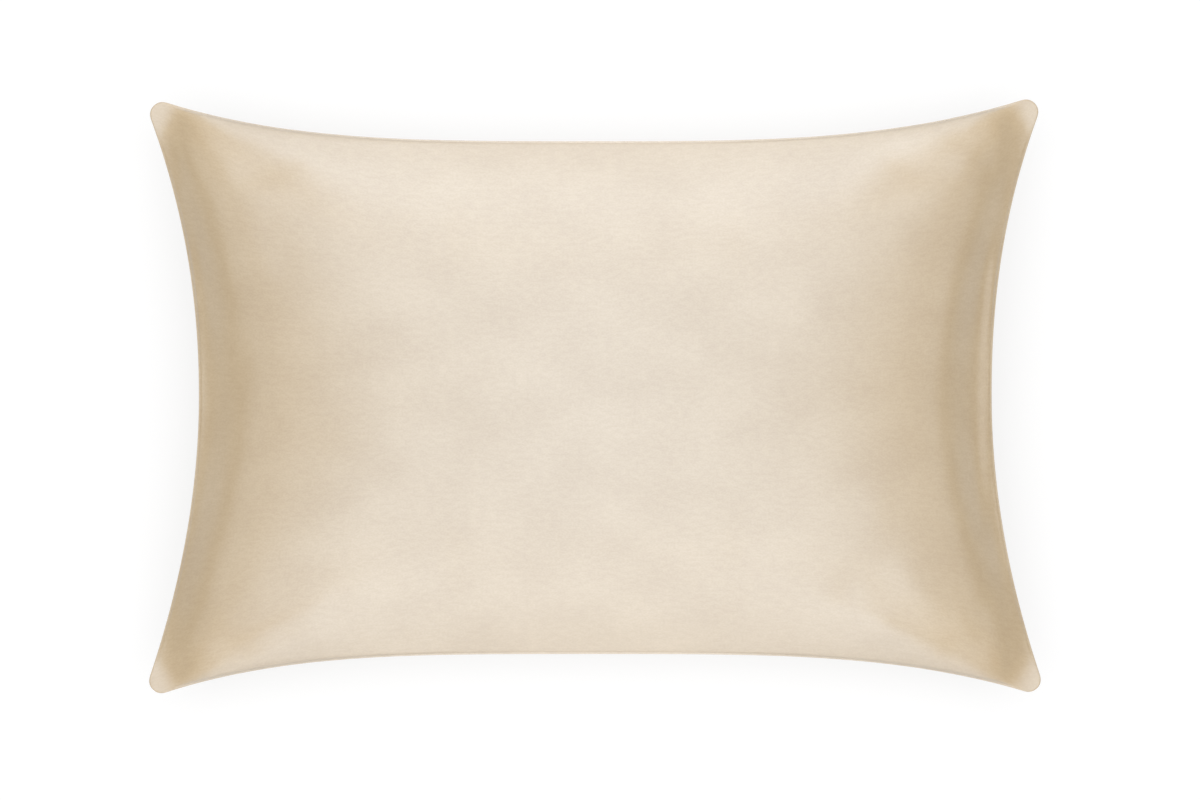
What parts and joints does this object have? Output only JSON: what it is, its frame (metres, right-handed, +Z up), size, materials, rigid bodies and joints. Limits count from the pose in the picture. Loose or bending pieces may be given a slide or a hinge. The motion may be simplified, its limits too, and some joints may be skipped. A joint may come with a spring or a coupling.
{
  "type": "pillowcase",
  "caption": "Plain satin pillowcase, filled: a rectangular cushion with a crowned middle, drawn-in sides, thin pointed corners and a knife-edge seam.",
  "frame": {"origin": "middle of the box, at the flat underside on which the case lies", "axes": "+X along the long side, +Y towards the top edge of the case, +Z up out of the front panel"},
  "size_m": [0.7452, 0.4945, 0.1595],
  "materials": {
    "satin": "smooth champagne satin with a soft sheen, faint crosswise weave and low mottling"
  },
  "bodies": {
    "root": {"pillowcase": "satin"}
  },
  "joints": []
}
